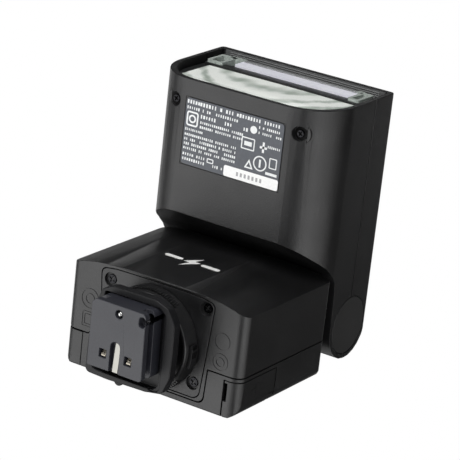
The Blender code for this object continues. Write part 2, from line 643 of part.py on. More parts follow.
def build_head_trim():
    for name, s in (("hinge_cap_right", 1), ("hinge_cap_left", -1)):
        lo, hi = sorted((s * (HEAD_HALF_X - CAP_THICK), s * HEAD_HALF_X))
        obj = cylinder(name, (HINGE_Y, HINGE_Z), CAP_R, "x", lo, hi, 64)
        soften(obj, 0.3)
        settle(obj)
        paint(obj, DARK)
    obj = prism("rating_label", fillet([(-17.0, -58.1, 1.0), (17.0, -58.1, 1.0), (17.0, -37.9, 1.0),
                                        (-17.0, -37.9, 1.0)], 3), "z", HEAD_BOTTOM, HEAD_BOTTOM + 0.15)
    paint(obj, LABEL)
    for i, (x, y) in enumerate(HEAD_SCREWS):
        build_screw("head_screw_%d" % (i + 1), x, y, 50.8, 1.7, 0.6, SCREW)


def build_lamp():
    section = head_section(HEAD_WALL + 0.15)
    obj = prism("lens_window", section, "y", LENS_Y0, LENS_Y1)
    # moulded ribs along the top of the window and a raised light bar
    bar = prism("lens_bar", [(LENS_Y0 - 0.25, 75.8), (LENS_Y0 - 0.25, 82.2), (LENS_Y0 + 0.4, 82.6),
                             (LENS_Y0 + 0.4, 75.4)], "x", -20.6, 20.6, CUTTERS)
    boolean(obj, bar, "UNION")
    settle(obj)
    paint(obj, CLEAR)
    outer = [(-60.9, 53.4), (-55.0, 56.0), (-49.0, 60.5), (-45.2, 66.0), (-44.0, 72.0), (-45.2, 76.5),
             (-49.0, 80.0), (-55.0, 83.0), (-60.9, 84.6)]
    inner = [(-60.9, 83.8), (-55.4, 82.2), (-49.5, 79.3), (-45.9, 76.1), (-44.8, 72.0), (-45.9, 66.4),
             (-49.5, 61.1), (-55.4, 56.7), (-60.9, 54.2)]
    obj = prism("reflector", outer + inner, "x", -21.5, 21.5)
    paint(obj, MIRROR)
    obj = lathe("flash_tube", (-47.8, 72.0), [(0.9, -23.4), (1.7, -22.2), (1.7, 22.2), (0.9, 23.4)], "x", 28)
    paint(obj, GLASS, True)
    for i, s in enumerate((-1, 1)):
        lo, hi = sorted((s * 22.0, s * 25.2))
        obj = box("tube_holder_%d" % (i + 1), (lo, -51.0, 68.8), (hi, -44.6, 75.2))
        boolean(obj, cylinder("tube_holder_bore_%d" % i, (-47.8, 72.0), 1.75, "x", -24.6, 24.6, 24, CUTTERS))
        settle(obj)
        paint(obj, RUBBER)
    obj = box("trigger_board", (-15.0, -34.0, 56.0), (15.0, -32.6, 74.0))
    paint(obj, BOARD)
    obj = box("trigger_coil", (-6.0, -32.3, 60.0), (3.0, -24.5, 68.0))
    soften(obj, 0.6)
    settle(obj)
    paint(obj, FERRITE)


# ---------------------------------------------------------------- rear controls
BUTTONS = [(-14.0, 34.0, 2.6), (-14.0, 46.0, 2.6), (12.0, 40.0, 3.4)]
BUTTON_NAMES = ["power_button", "pairing_button", "test_button"]
LAMPS = [(2.0, 46.0), (12.0, 48.5)]


def build_controls():
    for name, (x, z, r) in zip(BUTTON_NAMES, BUTTONS):
        obj = lathe(name, (x, z), [(r + 0.8, 18.0), (r + 0.8, 18.8), (r, 18.8), (r, 21.0), (r - 0.4, 21.3)], "y", 40)
        set_origin(obj, x, 21.3, z)
        paint(obj, DARK)
    for i, (x, z) in enumerate(LAMPS):
        obj = lathe(("link_lamp", "ready_lamp")[i], (x, z), [(1.0, 18.2), (1.0, 20.8), (0.7, 21.0)], "y", 24)
        paint(obj, AMBER, True)


# ---------------------------------------------------------------- inside the body
def build_cells():
    half = CELL_LENGTH / 2
    mid = -1.7
    for i, z in enumerate(CELL_Z):
        flip = -1 if i else 1
        prof = [(CELL_R - 0.5, -half), (CELL_R, -half + 0.5), (CELL_R, half - 2.0), (CELL_R - 0.6, half - 1.2),
                (2.7, half - 1.2), (2.6, half)]
        prof = [(r, mid + d * flip) for r, d in prof]
        if flip < 0:
            prof.reverse()
        obj = lathe("cell_%d" % (i + 1), (CELL_Y, z), prof, "x", 40)
        paint(obj, SLEEVE, True)
    obj = box("cell_contact_plate", (23.3, 5.6, 22.6), (23.7, 17.2, 49.6))
    paint(obj, STEEL)
    obj = box("door_contact_plate", (-28.5, 6.0, 24.6), (-27.9, 17.4, 47.4))
    paint(obj, STEEL)


def build_electronics():
    obj = box("main_board", (-27.0, -10.0, 22.6), (27.0, -8.6, 60.4))
    boolean(obj, box("board_corner_left", (-30, -12, 0), (-24.4, 0, 70), CUTTERS))
    boolean(obj, box("board_corner_right", (24.4, -12, 0), (30, 0, 70), CUTTERS))
    settle(obj)
    paint(obj, BOARD)
    obj = lathe("main_capacitor", (-2.9, 29.4), [(5.1, -22.0), (5.3, -21.8), (5.3, 12.0), (5.1, 12.2)], "x", 40)
    paint(obj, CAN, True)
    obj = box("charge_transformer", (-20.0, -8.2, 44.0), (-7.0, 1.0, 57.0))
    soften(obj, 0.8)
    settle(obj)
    paint(obj, FERRITE)
    obj = box("radio_module", (4.0, -8.2, 42.0), (20.0, -5.6, 58.0))
    soften(obj, 0.3)
    settle(obj)
    paint(obj, STEEL)
    obj = box("control_board", (-20.0, 16.4, 51.2), (20.0, 17.4, 60.6))
    paint(obj, BOARD)
    # the connector behind the port door
    obj = box("usb_receptacle", (24.0, 12.0, 25.0), (28.4, 15.2, 33.4))
    boolean(obj, box("usb_mouth", (25.0, 12.5, 25.5), (30, 14.7, 32.9), CUTTERS))
    settle(obj)
    paint(obj, STEEL)


build_front_shell()
build_rear_shell()
build_cell_door()
build_port_door()
build_hinge_pins()
build_base_plate()
for n, (spot_x, spot_y) in enumerate(SCREW_SPOTS):
    build_screw("base_screw_%d" % (n + 1), spot_x, spot_y, BODY_Z0 + 0.3, 1.75, 0.65, SCREW)
build_lock_dial()
build_stem()
build_guard()
build_foot()
build_foot_contacts()
build_lock_pin()
build_neck()
build_hinge()
build_head_shells()
build_head_trim()
build_lamp()
build_controls()
build_cells()
build_electronics()
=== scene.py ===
# A compact flash for a camera's shoe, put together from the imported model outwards: body, base, dial, foot,
# neck, head, lamp window, label, rear keys and the parts inside. Lengths are in metres, +Z is up.
import math

import bmesh
import bpy
from mathutils import Matrix, Vector


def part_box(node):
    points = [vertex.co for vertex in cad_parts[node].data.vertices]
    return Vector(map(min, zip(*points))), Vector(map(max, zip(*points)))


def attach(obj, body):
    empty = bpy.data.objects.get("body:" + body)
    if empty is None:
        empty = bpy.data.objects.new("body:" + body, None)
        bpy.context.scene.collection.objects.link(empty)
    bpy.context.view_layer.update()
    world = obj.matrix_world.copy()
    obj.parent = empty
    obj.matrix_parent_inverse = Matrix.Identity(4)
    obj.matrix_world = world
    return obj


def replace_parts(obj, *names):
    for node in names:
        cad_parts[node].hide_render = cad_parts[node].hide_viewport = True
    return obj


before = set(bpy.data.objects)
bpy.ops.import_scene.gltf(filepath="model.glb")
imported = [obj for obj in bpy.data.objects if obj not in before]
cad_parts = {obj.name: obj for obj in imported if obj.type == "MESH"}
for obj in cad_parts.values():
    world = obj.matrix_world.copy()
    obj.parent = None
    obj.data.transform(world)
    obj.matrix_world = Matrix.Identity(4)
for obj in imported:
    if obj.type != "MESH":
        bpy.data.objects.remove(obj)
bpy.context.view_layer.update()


# ---- Body shells ---------------------------------------------------------------------------------
# Two polycarbonate mouldings, front and rear, that meet along a fine parting line on both sides.
# They are injection moulded against a spark-eroded tool, which leaves an even, fine, matt texture.
MM = 0.001


def linear(code):
    """sRGB hex to the linear colour the shaders use."""
    channels = [int(code[i:i + 2], 16) / 255 for i in (1, 3, 5)]
    return tuple(c / 12.92 if c <= 0.04045 else ((c + 0.055) / 1.055) ** 2.4 for c in channels) + (1.0,)


def add(tree, kind, settings=None, links=None):
    """Add a node, give it its settings and input values, and link its inputs to other nodes' outputs."""
    node = tree.nodes.new(kind)
    for key, value in (settings or {}).items():
        if isinstance(key, str) and hasattr(node, key):
            setattr(node, key, value)
        else:
            node.inputs[key].default_value = value
    for key, source in (links or {}).items():
        tree.links.new(source, node.inputs[key])
    return node


def blank_material(name):
    """A new material, with its node tree, its shader and the object's own coordinates."""
    mat = bpy.data.materials.new(name)
    mat.use_nodes = True
    tree = mat.node_tree
    return mat, tree, tree.nodes["Principled BSDF"], add(tree, "ShaderNodeTexCoord").outputs["Object"]


def blended(tree, shader, first, second, amount):
    """Mix two colours by a pattern into the base colour."""
    colour = add(tree, "ShaderNodeMix", {"data_type": "RGBA", 6: first, 7: second}, {0: amount})
    tree.links.new(colour.outputs[2], shader.inputs["Base Color"])


def uneven_gloss(tree, shader, low, high, pattern):
    """Let a noise pattern move the roughness between two values."""
    gloss = add(tree, "ShaderNodeMapRange",
                {"From Min": 0.3, "From Max": 0.7, "To Min": low, "To Max": high}, {"Value": pattern})
    tree.links.new(gloss.outputs[0], shader.inputs["Roughness"])


def pitted(tree, shader, strength, depth, pattern):
    """Relief too fine to be cut into the mesh; its depth is in millimetres."""
    bump = add(tree, "ShaderNodeBump", {"Strength": strength, "Distance": depth * MM}, {"Height": pattern})
    tree.links.new(bump.outputs[0], shader.inputs["Normal"])


def moulded(name, tone, worn, roughness, grain, depth, coat=0.0, shine=0.5):
    """Textured moulded plastic: two close tones in soft clouds, a fine grain and a slightly uneven gloss."""
    mat, tree, shader, place = blank_material(name)
    cloud = add(tree, "ShaderNodeTexNoise", {"Scale": 1 / 0.016, "Detail": 5.0, "Roughness": 0.6},
                {"Vector": place})
    fleck = add(tree, "ShaderNodeTexNoise", {"Scale": 1 / (grain * MM * 1.6), "Detail": 1.0},
                {"Vector": place})
    mixed = add(tree, "ShaderNodeMath", {"operation": "MULTIPLY"}, {0: cloud.outputs[0], 1: fleck.outputs[0]})
    spread = add(tree, "ShaderNodeMapRange", {"From Min": 0.12, "From Max": 0.4}, {"Value": mixed.outputs[0]})
    blended(tree, shader, linear(tone), linear(worn), spread.outputs[0])
    uneven_gloss(tree, shader, roughness - 0.04, roughness + 0.05, cloud.outputs[0])
    pits = add(tree, "ShaderNodeTexNoise", {"Scale": 1 / (grain * MM), "Detail": 3.0, "Roughness": 0.65},
               {"Vector": place})
    pitted(tree, shader, 0.6, depth, pits.outputs[0])
    shader.inputs["IOR"].default_value = 1.58
    shader.inputs["Coat Weight"].default_value = coat
    shader.inputs["Specular IOR Level"].default_value = shine
    return mat


# Black polycarbonate with a spark-eroded texture: dull black that turns grey where light glances off it.
# The real pits are near 0.06 mm, drawn here at 0.42 mm so that the mottling shows.
black_polycarbonate = moulded("black_polycarbonate_spark_texture", "#0b0b0c", "#131314", 0.41, 0.42, 0.11)


def settled(obj):
    """Bake an object's modifiers into a plain mesh."""
    bpy.context.view_layer.update()
    mesh = bpy.data.meshes.new_from_object(obj.evaluated_get(bpy.context.evaluated_depsgraph_get()))
    obj.modifiers.clear()
    obj.data = mesh
    mesh.name = obj.name
    return obj


def finish_piece(obj, material, body, smooth_angle=32):
    """Give a finished mesh its material and smooth shading, and set it on its body."""
    if material:
        obj.data.materials.clear()
        obj.data.materials.append(material)
    smoothed(obj, smooth_angle)
    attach(obj, body)
    return obj


def placed(name, data):
    """A new object at the origin, in the scene."""
    obj = bpy.data.objects.new(name, data)
    bpy.context.scene.collection.objects.link(obj)
    return obj


def smoothed(obj, sharp_angle):
    """Smooth shading, except across edges sharper than the angle."""
    for face in obj.data.polygons:
        face.use_smooth = True
    obj.data.set_sharp_from_angle(angle=math.radians(sharp_angle))


def cleaned_copy(node, name):
    """A copy of a CAD node's mesh with its coplanar triangles merged back into whole faces."""
    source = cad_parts[node].data
    mesh = bpy.data.meshes.new(name)
    mesh.from_pydata([v.co[:] for v in source.vertices], [], [tuple(p.vertices) for p in source.polygons])
    bm = bmesh.new()
    bm.from_mesh(mesh)
    bmesh.ops.remove_doubles(bm, verts=bm.verts, dist=0.004 * MM)
    bmesh.ops.dissolve_limit(bm, angle_limit=math.radians(0.8), verts=bm.verts, edges=bm.edges)
    bmesh.ops.remove_doubles(bm, verts=bm.verts, dist=0.02 * MM)
    bm.to_mesh(mesh)
    bm.free()
    return placed(name, mesh)


def softened(node, name, edge, material, body, segments=2, smooth=32):
    """A moulded piece with the shape of its CAD node, and the small edge radius that every moulding has."""
    obj = cleaned_copy(node, name)
    if edge:
        bevel = obj.modifiers.new("edge_radius", "BEVEL")
        bevel.width = edge * MM
        bevel.segments = segments
        bevel.limit_method = "ANGLE"
        bevel.angle_limit = math.radians(28)
        bevel.use_clamp_overlap = False
        bevel.miter_outer = "MITER_ARC"
        settled(obj)
    smoothed(obj, smooth)
    flat = obj.modifiers.new("flat_faces_stay_flat", "WEIGHTED_NORMAL")
    flat.mode = "FACE_AREA"
    flat.weight = 100
    flat.keep_sharp = True
    settled(obj)
    finish_piece(obj, material, body, smooth)
    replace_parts(obj, node)


softened("body_front_shell", "front_shell_moulding", 0.16, black_polycarbonate, "body")
softened("body_rear_shell", "rear_shell_moulding", 0.14, black_polycarbonate, "body")


# ---- Mark on the front ---------------------------------------------------------------------------
# A plain lightning bolt between two bars, pad printed in white ink on the bowed front of the body.
# The ink is one flat film, about 0.04 mm proud at the middle of the bow and 0.1 mm at its left end.
def dimmed(tone, share):
    """The linear colour of a hex code, darkened to a share of itself."""
    return tuple(c * share for c in linear(tone)[:3]) + (1.0,)


def printed_ink(name, tone, roughness=0.45):
    """Pad-printed ink: flat colour, slightly thin in places where the pad has lifted."""
    mat, tree, shader, place = blank_material(name)
    thin = add(tree, "ShaderNodeTexNoise", {"Scale": 1 / 0.0006, "Detail": 3.0}, {"Vector": place})
    blended(tree, shader, dimmed(tone, 0.82), linear(tone), thin.outputs[0])
    pitted(tree, shader, 0.3, 0.01, thin.outputs[0])
    shader.inputs["Roughness"].default_value = roughness
    return mat


def on_plane(axis):
    """Where a point (u, v) at depth d lies, for a flat pattern facing along an axis."""
    if axis == "x":
        return lambda u, v, d: (d * MM, u * MM, v * MM)
    if axis == "y":
        return lambda u, v, d: (u * MM, d * MM, v * MM)
    return lambda u, v, d: (u * MM, v * MM, d * MM)


def mesh_piece(name, bm):
    """Turn a finished bmesh into an object with all its faces outward."""
    bmesh.ops.recalc_face_normals(bm, faces=bm.faces)
    mesh = bpy.data.meshes.new(name)
    bm.to_mesh(mesh)
    bm.free()
    return placed(name, mesh)


def raised(name, shapes, axis, low, high, material, body):
    """Flat shapes with a thickness: each an outline, or a pair (outer, inner) of equal loops for a frame."""
    put = on_plane(axis)
    bm = bmesh.new()
    for shape in shapes:
        loops = shape if isinstance(shape, tuple) else (shape,)
        floors = [[bm.verts.new(put(u, v, low)) for u, v in loop] for loop in loops]
        roofs = [[bm.verts.new(put(u, v, high)) for u, v in loop] for loop in loops]
        count = len(loops[0])
        for floor, roof in zip(floors, roofs):
            for i in range(count):
                j = (i + 1) % count
                bm.faces.new((floor[i], floor[j], roof[j], roof[i]))
        for level in (floors, roofs):
            if len(loops) == 1:
                bm.faces.new(level[0])
                continue
            for i in range(count):
                j = (i + 1) % count
                bm.faces.new((level[0][i], level[0][j], level[1][j], level[1][i]))
    return finish_piece(mesh_piece(name, bm), material, body)


def tile(x0, y0, x1, y1, r=0.0, steps=4):
    """Rectangle with rounded corners."""
    if r <= 0:
        return [(x0, y0), (x1, y0), (x1, y1), (x0, y1)]
    points = []
    corners = ((x1 - r, y0 + r, -90), (x1 - r, y1 - r, 0), (x0 + r, y1 - r, 90), (x0 + r, y0 + r, 180))
    for cx, cy, start in corners:
        for k in range(steps + 1):
            a = math.radians(start + 90 * k / steps)
            points.append((cx + r * math.cos(a), cy + r * math.sin(a)))
    return points


white_ink = printed_ink("white_pad_printing_ink", "#f2f2f0")
BOLT = [(1.3, 41.6), (-2.1, 37.6), (-0.3, 37.6), (-1.4, 34.4), (2.2, 38.8), (0.3, 38.8)]
MARK_HEIGHT = 38.2
INK_FACE = -13.54
INK_BACK = -13.38
front_bolt = [(1.15 * x - 1.9, MARK_HEIGHT + 1.25 * (z - MARK_HEIGHT)) for x, z in BOLT]
raised("front_mark", [front_bolt, tile(-11.4, 37.3, -5.2, 39.0, 0.8), tile(1.4, 37.3, 7.8, 39.0, 0.8)],
       "y", INK_FACE, INK_BACK, white_ink, "body")


# ---- Marks under the body ------------------------------------------------------------------------
# Plain rings and a double frame, moulded in the same black plastic as the body. Their hair-thin lines
# stand 0.14 mm proud of it.
def disc(cx, cy, r, count=40):
    """Round outline."""
    return [(cx + r * math.cos(2 * math.pi * i / count), cy + r * math.sin(2 * math.pi * i / count))
            for i in range(count)]


def hoop(cx, cy, r, line):
    """Ring drawn as a line of even width."""
    return (disc(cx, cy, r + line / 2), disc(cx, cy, r - line / 2))


def outlined(x0, y0, x1, y1, r, line):
    """Rounded rectangle drawn as a line of even width."""
    return (tile(x0, y0, x1, y1, r), tile(x0 + line, y0 + line, x1 - line, y1 - line, max(0.05, r - line)))


MARK_TIP = 18.26
MARK_ROOT = 18.5
left_marks = [hoop(-23.0, -0.9, 3.0, 0.22), hoop(-23.0, -0.9, 1.5, 0.2),
              outlined(-25.3, 3.2, -20.9, 8.0, 0.5, 0.2), outlined(-24.5, 4.0, -21.7, 7.2, 0.3, 0.18)]
right_marks = [hoop(23.4, -1.6, 2.5, 0.2), hoop(23.4, 4.6, 2.5, 0.2), hoop(23.4, 4.6, 1.3, 0.18)]
raised("underside_rings", left_marks + right_marks, "z", MARK_TIP, MARK_ROOT, black_polycarbonate, "body")


# ---- Cell door -----------------------------------------------------------------------------------
# The left-hand door that covers the two cells: the same textured black moulding on a steel pin, with six
# thumb ribs and a small arrow for the way it opens.
SIGN_ROOT = 30.5
SIGN_FACE = 30.66
softened("battery_door", "cell_door_moulding", 0.16, black_polycarbonate, "cell_door")


def growing_tree(name, inputs):
    """A Geometry Nodes tree with named inputs; gives the tree and what its inputs carry."""
    tree = bpy.data.node_groups.new(name, "GeometryNodeTree")
    for label, kind in inputs.items():
        tree.interface.new_socket(label, in_out="INPUT", socket_type="NodeSocket" + kind)
    tree.interface.new_socket("Geometry", in_out="OUTPUT", socket_type="NodeSocketGeometry")
    return tree, add(tree, "NodeGroupInput").outputs


def dressed(tree, many, given):
    """End a tree: make the repeats real geometry and give them the material."""
    real = add(tree, "GeometryNodeRealizeInstances", None, {"Geometry": many.outputs[0]})
    done = add(tree, "GeometryNodeSetMaterial", None,
               {"Geometry": real.outputs[0], "Material": given["Material"]})
    add(tree, "NodeGroupOutput", None, {"Geometry": done.outputs[0]})
    return tree


def rib_tree():
    """A row of round ribs at an even pitch, each turned to lie across the row."""
    tree, given = growing_tree("thumb_ribs", {
        "Geometry": "Geometry", "Count": "Int", "Pitch": "Float", "Length": "Float", "Radius": "Float",
        "Start": "Vector", "Step": "Vector", "Turn": "Vector", "Material": "Material"})
    gap = add(tree, "ShaderNodeVectorMath", {"operation": "SCALE"},
              {0: given["Step"], "Scale": given["Pitch"]})
    line = add(tree, "GeometryNodeMeshLine", None,
               {"Count": given["Count"], "Start Location": given["Start"], "Offset": gap.outputs[0]})
    rod = add(tree, "GeometryNodeMeshCylinder", {"Vertices": 16},
              {"Radius": given["Radius"], "Depth": given["Length"]})
    many = add(tree, "GeometryNodeInstanceOnPoints", None,
               {"Points": line.outputs[0], "Instance": rod.outputs[0], "Rotation": given["Turn"]})
    return dressed(tree, many, given)


def grown(name, tree, values, body, base=((0, 0, 0),)):
    """Run a tree on a few base points, keep the result as a plain mesh and set it on its body."""
    mesh = bpy.data.meshes.new(name)
    mesh.from_pydata(base, [], [])
    obj = placed(name, mesh)
    grower = obj.modifiers.new(name, "NODES")
    grower.node_group = tree
    for item in tree.interface.items_tree:
        if item.in_out == "INPUT" and item.name in values:
            grower[item.identifier] = values[item.name]
    settled(obj)
    return finish_piece(obj, None, body)


thumb_ribs = rib_tree()
grown("cell_door_ribs", thumb_ribs,
      {"Count": 6, "Pitch": 1.5 * MM, "Length": 9.0 * MM, "Radius": 0.42 * MM,
       "Start": (-30.27 * MM, 14.0 * MM, 0.026), "Step": (0.0, 0.0, 1.0),
       "Turn": (math.radians(90), 0.0, 0.0), "Material": black_polycarbonate},
      "cell_door")
raised("cell_door_arrow", [[(14.0, 52.5), (12.2, 49.8), (15.8, 49.8)], tile(13.6, 46.0, 14.4, 49.9)],
       "x", -SIGN_FACE, -SIGN_ROOT, white_ink, "cell_door")


# ---- Port door -----------------------------------------------------------------------------------
# The small right-hand door over the charging port, on its own pin, with a moulded plug sign.
softened("port_door", "port_door_moulding", 0.16, black_polycarbonate, "port_cover")
plug_sign = [tile(11.6, 27.6, 14.6, 29.8, 0.4), tile(12.2, 29.7, 12.7, 30.9), tile(13.5, 29.7, 14.0, 30.9),
             tile(12.85, 25.6, 13.35, 27.7)]
raised("port_door_sign", plug_sign, "x", SIGN_ROOT, SIGN_FACE, black_polycarbonate, "port_cover")


# ---- Base plate and its screws -------------------------------------------------------------------
# A flat plate of the same family of black plastic let into the underside, held by four black pan-head
# screws with cross recesses that sit down in round pockets.
base_polycarbonate = moulded("base_plate_polycarbonate", "#0c0c0d", "#141416", 0.45, 0.42, 0.1)
softened("base_plate", "base_plate_moulding", 0.2, base_polycarbonate, "body")


def screw_tree():
    """A pan-head screw with a cross recess at every base point."""
    tree, given = growing_tree("pan_head_screws", {
        "Geometry": "Geometry", "Head radius": "Float", "Head height": "Float", "Recess width": "Float",
        "Recess depth": "Float", "Material": "Material"})
    crown = add(tree, "ShaderNodeMath", {"operation": "MULTIPLY", 1: 0.78}, {0: given["Head radius"]})
    head = add(tree, "GeometryNodeMeshCone", {"Vertices": 40, "Side Segments": 1},
               {"Radius Top": given["Head radius"], "Radius Bottom": crown.outputs[0],
                "Depth": given["Head height"]})
    reach = add(tree, "ShaderNodeMath", {"operation": "MULTIPLY", 1: 1.25}, {0: given["Head radius"]})
    arm = add(tree, "ShaderNodeCombineXYZ", None,
              {0: reach.outputs[0], 1: given["Recess width"], 2: given["Recess depth"]})
    bar = add(tree, "GeometryNodeMeshCube", None, {"Size": arm.outputs[0]})
    crossed = add(tree, "GeometryNodeTransform", {"Rotation": (0.0, 0.0, math.radians(90))},
                  {"Geometry": bar.outputs[0]})
    cut = add(tree, "GeometryNodeMeshBoolean", {"operation": "DIFFERENCE", "solver": "EXACT"},
              {0: head.outputs[0]})
    tree.links.new(bar.outputs[0], cut.inputs[1])
    tree.links.new(crossed.outputs[0], cut.inputs[1])
    many = add(tree, "GeometryNodeInstanceOnPoints", {"Rotation": (0.0, 0.0, 0.5)},
               {"Points": given["Geometry"], "Instance": cut.outputs[0]})
    return dressed(tree, many, given)


def metal(name, tone, roughness, scratch, along=(1.0, 1.0, 1.0)):
    """Plain metal with a fine uneven gloss; along stretches the marks in the direction of rolling."""
    mat, tree, shader, place = blank_material(name)
    drawn = add(tree, "ShaderNodeMapping", {"Scale": along}, {"Vector": place})
    marks = add(tree, "ShaderNodeTexNoise", {"Scale": 1 / (scratch * MM), "Detail": 4.0},
                {"Vector": drawn.outputs[0]})
    uneven_gloss(tree, shader, roughness - 0.06, roughness + 0.08, marks.outputs[0])
    blended(tree, shader, dimmed(tone, 0.86), linear(tone), marks.outputs[0])
    pitted(tree, shader, 0.25, 0.008, marks.outputs[0])
    shader.inputs["Metallic"].default_value = 1.0
    return mat


def nodes_centre(name):
    """The middle of a CAD node's box."""
    low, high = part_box(name)
    return tuple((low + high) / 2)


# Black zinc-plated steel: near black with a bright glint along the edges of the recess.
black_zinc = metal("black_zinc_plated_steel", "#2c2c2e", 0.26, 0.12)
pan_screws = screw_tree()


def screw_heads(name, nodes, radius, body):
    """One head at the middle of each CAD screw; the radius is in millimetres."""
    sizes = {"Head radius": radius * MM, "Head height": 0.65 * MM, "Recess width": 0.5 * MM,
             "Recess depth": 1.1 * MM, "Material": black_zinc}
    heads = grown(name, pan_screws, sizes, body, base=[nodes_centre(node) for node in nodes])
    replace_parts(heads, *nodes)


screw_heads("base_screws", ["base_screw_%d" % n for n in (1, 2, 3, 4)], 1.7, "body")


# ---- Locking dial --------------------------------------------------------------------------------
# The ring turned by a finger to lock the foot: satin black plastic with a raised pad, a plain engraved sign
# of a block and three bars on the pad, drawn as raised marks in painted shade, and fine grip teeth round
# the front and the back.
satin_plastic = moulded("satin_black_acetal", "#131314", "#1b1b1c", 0.4, 0.24, 0.01, shine=0.4)
softened("lock_dial", "lock_dial_moulding", 0.14, satin_plastic, "dial")


def teeth_tree():
    """Short upright teeth round part of a circle."""
    tree, given = growing_tree("grip_teeth", {
        "Geometry": "Geometry", "Count": "Int", "Circle radius": "Float", "Start angle": "Float",
        "Sweep angle": "Float", "Centre": "Vector", "Tooth radius": "Float", "Tooth height": "Float",
        "Material": "Material"})
    arc = add(tree, "GeometryNodeCurveArc", None,
              {"Resolution": given["Count"], "Radius": given["Circle radius"],
               "Start Angle": given["Start angle"], "Sweep Angle": given["Sweep angle"]})
    moved = add(tree, "GeometryNodeTransform", None,
                {"Geometry": arc.outputs[0], "Translation": given["Centre"]})
    tooth = add(tree, "GeometryNodeMeshCylinder", {"Vertices": 10},
                {"Radius": given["Tooth radius"], "Depth": given["Tooth height"]})
    many = add(tree, "GeometryNodeInstanceOnPoints", None,
               {"Points": moved.outputs[0], "Instance": tooth.outputs[0]})
    return dressed(tree, many, given)


grip_teeth = teeth_tree()
for name, start in (("lock_dial_teeth", 38), ("lock_dial_teeth_front", 200)):
    grown(name, grip_teeth,
          {"Count": 34, "Circle radius": 15.25 * MM, "Start angle": math.radians(start),
           "Sweep angle": math.radians(104), "Centre": (0.0, 3.9 * MM, 15.9 * MM), "Tooth radius": 0.28 * MM,
           "Tooth height": 2.6 * MM, "Material": satin_plastic}, "dial")
# The sign's marks stand proud in near black: painted shade for the hollows of the engraving.
engraving_shade = moulded("painted_engraving_shade", "#040404", "#080808", 0.6, 0.3, 0.01, shine=0.1)
sign_bars = [tile(3.2, low, 5.0, high) for low, high in ((14.9, 15.3), (15.7, 16.1), (16.5, 16.9))]
raised("lock_dial_sign", sign_bars + [tile(1.2, 14.9, 2.4, 16.9, 0.3)], "x", 15.9, 16.19, engraving_shade, "dial")


# ---- Foot, stem and guard ------------------------------------------------------------------------
# The foot slides into the camera's shoe. It is a glass-filled nylon block, violet grey and smooth from
# use, inside a black guard frame, on a round stem that the dial turns about.
grey_nylon = moulded("grey_glass_filled_nylon", "#212229", "#292a31", 0.45, 0.4, 0.02)
softened("shoe_foot", "shoe_foot_moulding", 0.16, grey_nylon, "body", smooth=12)
softened("shoe_stem", "shoe_stem_moulding", 0.15, grey_nylon, "body")
guard_plastic = moulded("dark_guard_polycarbonate", "#121214", "#18181a", 0.42, 0.3, 0.012, shine=0.22)
softened("shoe_guard", "shoe_guard_moulding", 0.3, guard_plastic, "body", segments=3)


# ---- Shoe contacts and lock pin ------------------------------------------------------------------
# A round-nosed sprung centre contact, two gilt side fingers, a bent nickel silver earth strip and the
# black plated steel pin that comes out of the foot when the dial turns. All are pressed or turned metal.
bright_steel = metal("bright_rolled_steel", "#cfcfcd", 0.26, 0.3, (1.0, 0.12, 1.0))
gilt = metal("flash_gilt_over_nickel", "#9c968a", 0.26, 0.2)
strip_metal = metal("rolled_nickel_silver", "#a3a29c", 0.34, 0.3, (1.0, 0.12, 1.0))
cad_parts["earth_strip"].data.materials[0] = strip_metal
for node in ("battery_door_pin", "port_door_pin", "hinge_shaft", "cell_contact_plate", "door_contact_plate",
             "usb_receptacle", "radio_module"):
    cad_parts[node].data.materials[0] = bright_steel
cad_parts["lock_pin"].data.materials[0] = black_zinc
for node in ("side_contact_1", "side_contact_2"):
    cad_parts[node].data.materials[0] = gilt


def turned(name, centre, profile, material, body, count=40):
    """A piece turned about an upright axis: profile lists (radius, height) from one end to the other."""
    put = on_plane("z")
    bm = bmesh.new()
    rings = []
    for radius, along in profile:
        if radius <= 0:
            rings.append([bm.verts.new(put(centre[0], centre[1], along))])
            continue
        rings.append([bm.verts.new(put(centre[0] + radius * math.cos(2 * math.pi * i / count),
                                       centre[1] + radius * math.sin(2 * math.pi * i / count), along))
                      for i in range(count)])
    for a, b in zip(rings, rings[1:]):
        for i in range(count):
            j = (i + 1) % count
            if len(a) == 1:
                bm.faces.new((a[0], b[i], b[j]))
            elif len(b) == 1:
                bm.faces.new((a[i], a[j], b[0]))
            else:
                bm.faces.new((a[i], a[j], b[j], b[i]))
    return finish_piece(mesh_piece(name, bm), material, body, 40)


NOSE_RADIUS = 0.95
NOSE_TIP = 0.12
NOSE_TOP = 1.9
NOSE_CENTRE = NOSE_TIP + NOSE_RADIUS
nose_arc = [(NOSE_RADIUS * math.sin(math.radians(a)), NOSE_CENTRE - NOSE_RADIUS * math.cos(math.radians(a)))
            for a in range(15, 91, 15)]
contact_nose = turned("centre_contact_nose", (0.0, -7.6),
                      [(0.0, NOSE_TIP)] + nose_arc + [(NOSE_RADIUS, NOSE_TOP), (0.0, NOSE_TOP)],
                      bright_steel, "body")
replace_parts(contact_nose, "centre_contact")


# ---- Neck and hinge ------------------------------------------------------------------------------
# The neck rises from the body between the head's two arms and holds the hinge shaft. Round plastic caps
# cover the shaft's ends on both sides of the head.
softened("neck_housing", "neck_moulding", 0.25, black_polycarbonate, "body")
cap_plastic = moulded("hinge_cap_polycarbonate", "#242424", "#2b2b2b", 0.44, 0.26, 0.014)
for side in ("right", "left"):
    softened("hinge_cap_" + side, "hinge_disc_" + side, 0.0, cap_plastic, "head")


# ---- Head shells ---------------------------------------------------------------------------------
# The lamp head: a deep lower moulding and a shallow upper one that meet in a line high on the side, in
# the same textured black polycarbonate as the body.
hole_shadow = moulded("painted_hole_shade", "#050505", "#080808", 0.6, 0.3, 0.01, shine=0.1)
softened("head_lower_shell", "head_lower_moulding", 0.16, black_polycarbonate, "head")
softened("head_upper_shell", "head_upper_moulding", 0.16, black_polycarbonate, "head")
